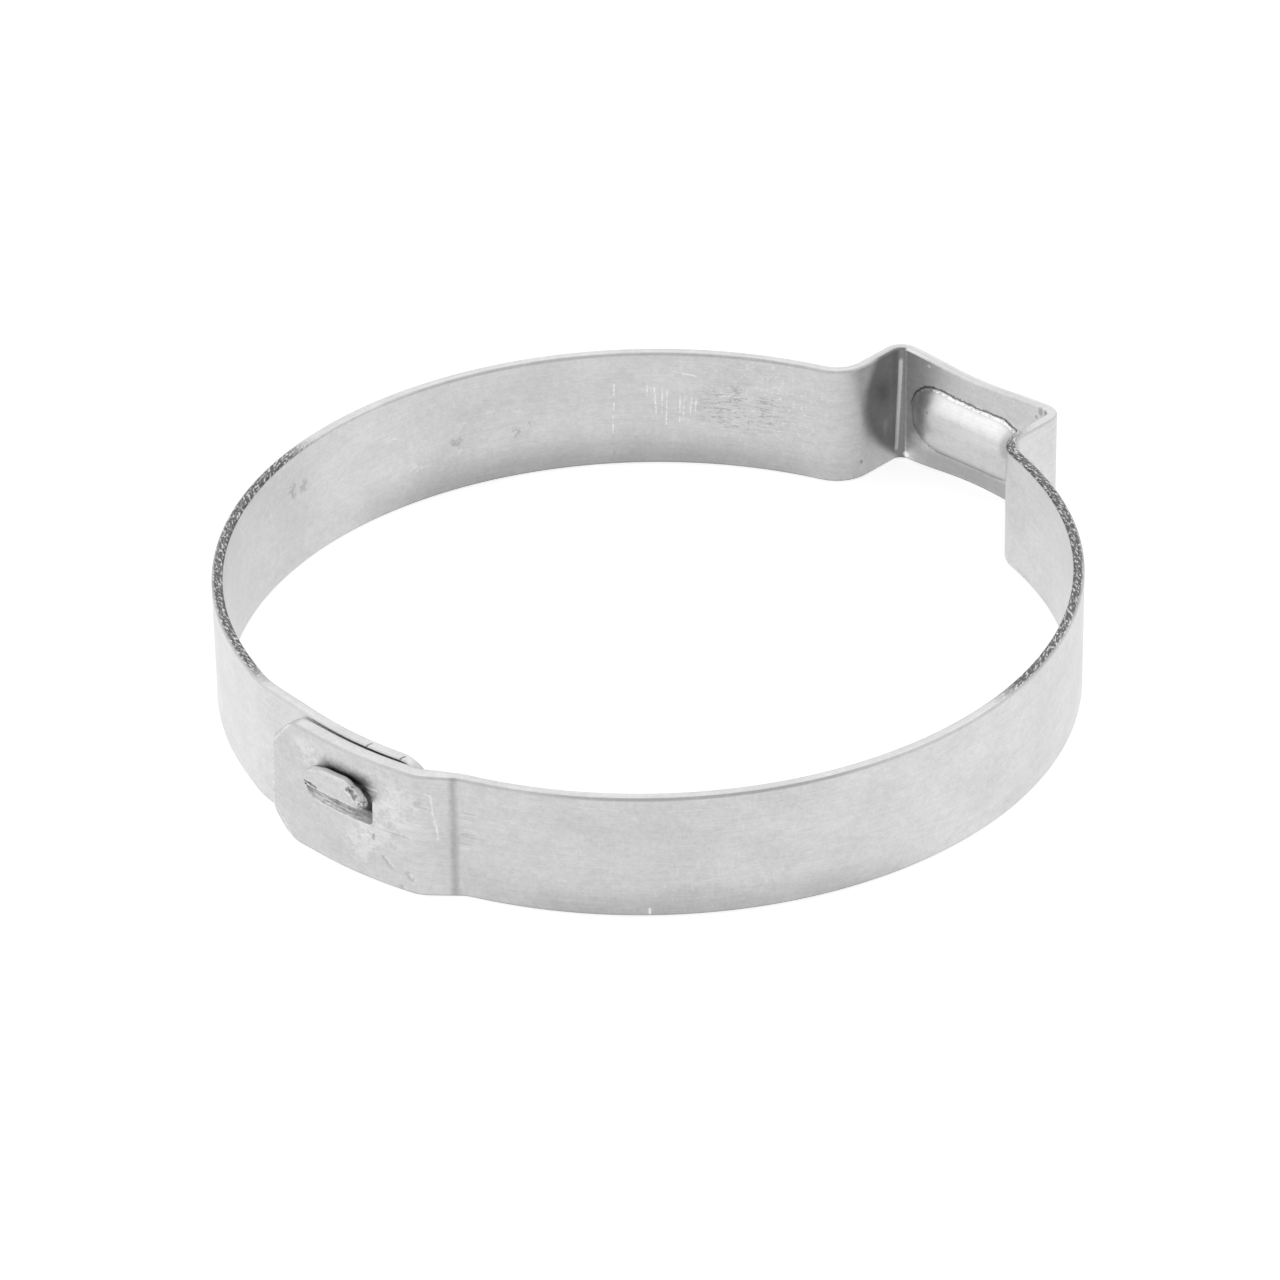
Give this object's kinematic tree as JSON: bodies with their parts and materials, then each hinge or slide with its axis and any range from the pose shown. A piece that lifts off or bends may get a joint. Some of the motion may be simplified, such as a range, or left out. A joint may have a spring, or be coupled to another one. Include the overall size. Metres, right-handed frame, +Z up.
{
  "type": "ear hose clamp",
  "caption": "Band clamp folded from one stainless strip, with a pinch ear and a riveted lap, for squeezing a hose onto a spigot.",
  "frame": {"origin": "on the axis of the bore, in the plane of the lower edge that the clamp lies on", "axes": "+Z up along the bore's axis, +X from the axis through the middle of the ear, +Y completes the right-handed set; the lap is at -X"},
  "size_m": [0.051, 0.0456, 0.007],
  "materials": {
    "band_steel": "rolled stainless strip, satin with fine lines round the ring"
  },
  "bodies": {
    "root": {"clamp_band": "band_steel"}
  },
  "joints": []
}
